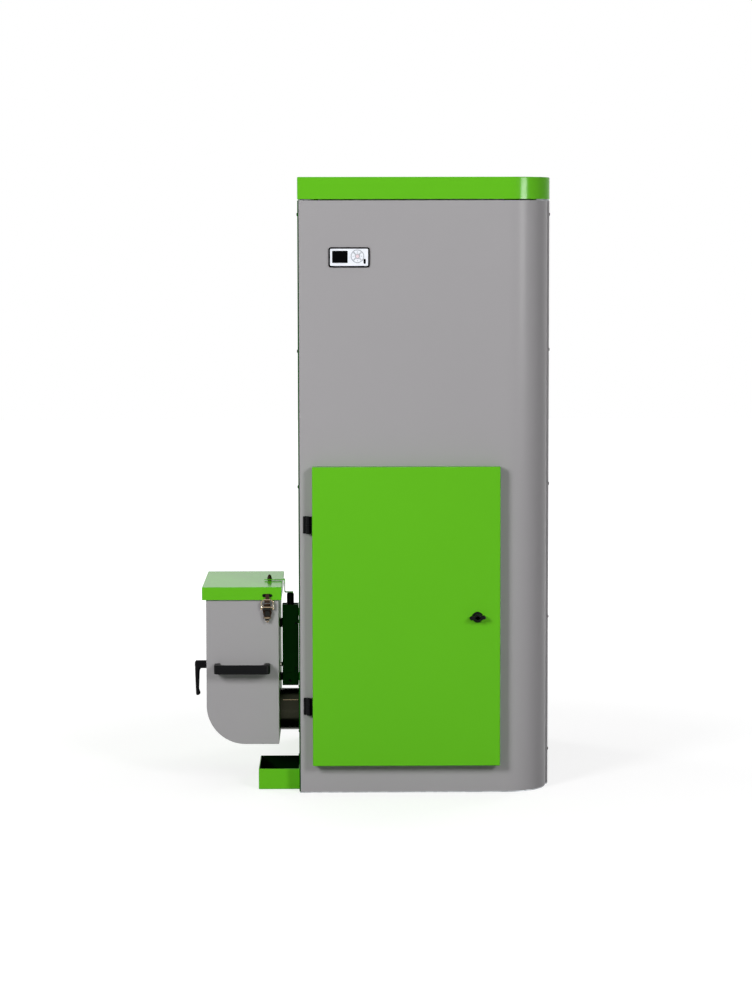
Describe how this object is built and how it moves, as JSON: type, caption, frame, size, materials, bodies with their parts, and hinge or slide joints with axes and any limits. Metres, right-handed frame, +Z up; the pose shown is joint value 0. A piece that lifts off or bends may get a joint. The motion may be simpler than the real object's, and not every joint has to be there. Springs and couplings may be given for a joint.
{
  "type": "pellet boiler",
  "caption": "Tall floor-standing wood pellet boiler with a hinged front door, a round-cornered grey and green cabinet and an ash bin clamped on its side.",
  "frame": {"origin": "middle of the base plate's underside, on the floor", "axes": "+X to the right seen from the front, +Y to the back, +Z up"},
  "size_m": [0.8744, 0.89, 1.478],
  "materials": {
    "grey_paint": "satin light grey powder coat",
    "green_paint": "satin bright green powder coat",
    "dark_green_paint": "satin dark green paint",
    "black_plastic": "satin black",
    "window_plastic": "glossy black window",
    "white_plastic": "smooth white",
    "board_plastic": "green circuit board",
    "galvanised_steel": "galvanised sheet",
    "bare_steel": "bright zinc plate",
    "dark_steel": "dark primer on welded steel",
    "cast_iron": "raw black casting",
    "brass": "plain pipe and fittings",
    "dark_rubber": "soft black"
  },
  "bodies": {
    "cabinet": {"base_pan": "galvanised_steel", "frame_posts": "galvanised_steel", "front_panel": "grey_paint", "left_side_panel": "green_paint", "right_side_panel": "grey_paint", "rear_panel": "galvanised_steel", "top_cap": "green_paint", "side_screws": "dark_steel", "door_hinges": "black_plastic", "display_bezel": "black_plastic", "display_face": "white_plastic", "display_windows": "window_plastic", "control_board": "board_plastic", "hopper": "galvanised_steel", "feed_tube": "dark_steel", "feed_gearmotor": "black_plastic", "boiler_vessel": "dark_steel", "cleaning_cover": "dark_steel", "burner_pot": "cast_iron", "smoke_duct": "dark_steel", "fan_housing": "galvanised_steel", "fan_motor": "black_plastic", "flue_collar": "galvanised_steel", "air_pipe": "galvanised_steel", "water_pipes": "brass", "circulation_pump": "cast_iron", "mains_inlet": "black_plastic", "ash_tube": "dark_steel", "ash_gearmotor": "black_plastic", "bin_bracket": "dark_green_paint", "floor_tray": "green_paint"},
    "front_door": {"door_panel": "green_paint", "door_liner": "galvanised_steel", "door_hinge_arms": "black_plastic"},
    "door_knob": {"door_knob": "black_plastic", "latch_cam": "bare_steel"},
    "firebox_door": {"firebox_door": "cast_iron"},
    "firebox_handle": {"firebox_handle": "cast_iron"},
    "hopper_lid": {"hopper_lid": "green_paint", "hopper_lid_seal": "dark_rubber"},
    "ash_bin": {"bin_shell": "grey_paint", "bin_handle": "black_plastic", "bin_buffers": "dark_rubber", "latch_base": "bare_steel"},
    "bin_lid": {"bin_lid": "green_paint", "lid_tab": "green_paint", "latch_keeper": "black_plastic"},
    "latch_lever": {"latch_lever": "bare_steel"},
    "latch_claw": {"latch_claw": "bare_steel"},
    "clamp_lever": {"clamp_lever": "black_plastic", "clamp_rod": "bare_steel"},
    "switch_plunger": {"switch_plunger": "black_plastic"},
    "key_up": {"key_up": "white_plastic"},
    "key_right": {"key_right": "white_plastic"},
    "key_down": {"key_down": "white_plastic"},
    "key_left": {"key_left": "white_plastic"},
    "key_centre": {"key_centre": "white_plastic"},
    "feed_auger": {"feed_auger": "bare_steel"},
    "ash_auger": {"ash_auger": "bare_steel"},
    "fan_impeller": {"fan_impeller": "bare_steel"}
  },
  "joints": [
    {"name": "front_door_hinge", "type": "hinge", "parent": "cabinet", "child": "front_door", "pos_m": [-0.279, -0.4015, 0.4309], "axis": [0, 0, -1], "range_deg": [0, 110]},
    {"name": "door_knob_turn", "type": "hinge", "parent": "front_door", "child": "door_knob", "pos_m": [0.1245, -0.4265, 0.4309], "axis": [0, 1, 0], "range_deg": [0, 90]},
    {"name": "firebox_door_hinge", "type": "hinge", "parent": "cabinet", "child": "firebox_door", "pos_m": [-0.21, -0.3095, 0.446], "axis": [0, 0, -1], "range_deg": [0, 93.6]},
    {"name": "firebox_handle_turn", "type": "hinge", "parent": "firebox_door", "child": "firebox_handle", "pos_m": [0.084, -0.32, 0.446], "axis": [0, 1, 0], "range_deg": [0, 90]},
    {"name": "hopper_lid_hinge", "type": "hinge", "parent": "cabinet", "child": "hopper_lid", "pos_m": [-0.022, 0.3335, 1.473], "axis": [-1, 0, 0], "range_deg": [0, 80]},
    {"name": "ash_bin_slide", "type": "slide", "parent": "cabinet", "child": "ash_bin", "axis": [-1, 0, 0], "range_m": [0, 0.25]},
    {"name": "bin_lid_hinge", "type": "hinge", "parent": "ash_bin", "child": "bin_lid", "pos_m": [-0.439, 0.0175, 0.4575], "axis": [-1, 0, 0], "range_deg": [0, 105]},
    {"name": "latch_lever_hinge", "type": "hinge", "parent": "ash_bin", "child": "latch_lever", "pos_m": [-0.38, -0.3345, 0.431], "axis": [-1, 0, 0], "range_deg": [0, 150]},
    {"name": "latch_claw_hinge", "type": "hinge", "parent": "latch_lever", "child": "latch_claw", "pos_m": [-0.38, -0.3345, 0.419], "axis": [1, 0, 0], "range_deg": [0, 170]},
    {"name": "clamp_lever_turn", "type": "hinge", "parent": "ash_bin", "child": "clamp_lever", "pos_m": [-0.54, -0.1915, 0.285], "axis": [1, 0, 0], "continuous": true},
    {"name": "switch_plunger_slide", "type": "slide", "parent": "cabinet", "child": "switch_plunger", "axis": [0, 0, -1], "range_m": [0, 0.006], "stiffness_N_per_m": 600},
    {"name": "key_up_press", "type": "slide", "parent": "cabinet", "child": "key_up", "axis": [0, 1, 0], "range_m": [0, 0.0008], "stiffness_N_per_m": 400},
    {"name": "key_right_press", "type": "slide", "parent": "cabinet", "child": "key_right", "axis": [0, 1, 0], "range_m": [0, 0.0008], "stiffness_N_per_m": 400},
    {"name": "key_down_press", "type": "slide", "parent": "cabinet", "child": "key_down", "axis": [0, 1, 0], "range_m": [0, 0.0008], "stiffness_N_per_m": 400},
    {"name": "key_left_press", "type": "slide", "parent": "cabinet", "child": "key_left", "axis": [0, 1, 0], "range_m": [0, 0.0008], "stiffness_N_per_m": 400},
    {"name": "key_centre_press", "type": "slide", "parent": "cabinet", "child": "key_centre", "axis": [0, 1, 0], "range_m": [0, 0.0008], "stiffness_N_per_m": 400},
    {"name": "feed_auger_turn", "type": "hinge", "parent": "cabinet", "child": "feed_auger", "pos_m": [-0.022, 0.06, 0.52], "axis": [0, 1, 0], "continuous": true},
    {"name": "ash_auger_turn", "type": "hinge", "parent": "cabinet", "child": "ash_auger", "pos_m": [0, -0.1915, 0.1734], "axis": [1, 0, 0], "continuous": true},
    {"name": "fan_impeller_turn", "type": "hinge", "parent": "cabinet", "child": "fan_impeller", "pos_m": [0.06, 0.1685, 0.2], "axis": [1, 0, 0], "continuous": true}
  ],
  "couplings": [
    {"joint": "firebox_door_hinge", "follows": "front_door_hinge", "ratio": 0.85},
    {"joint": "latch_claw_hinge", "follows": "latch_lever_hinge", "ratio": 1.133}
  ]
}
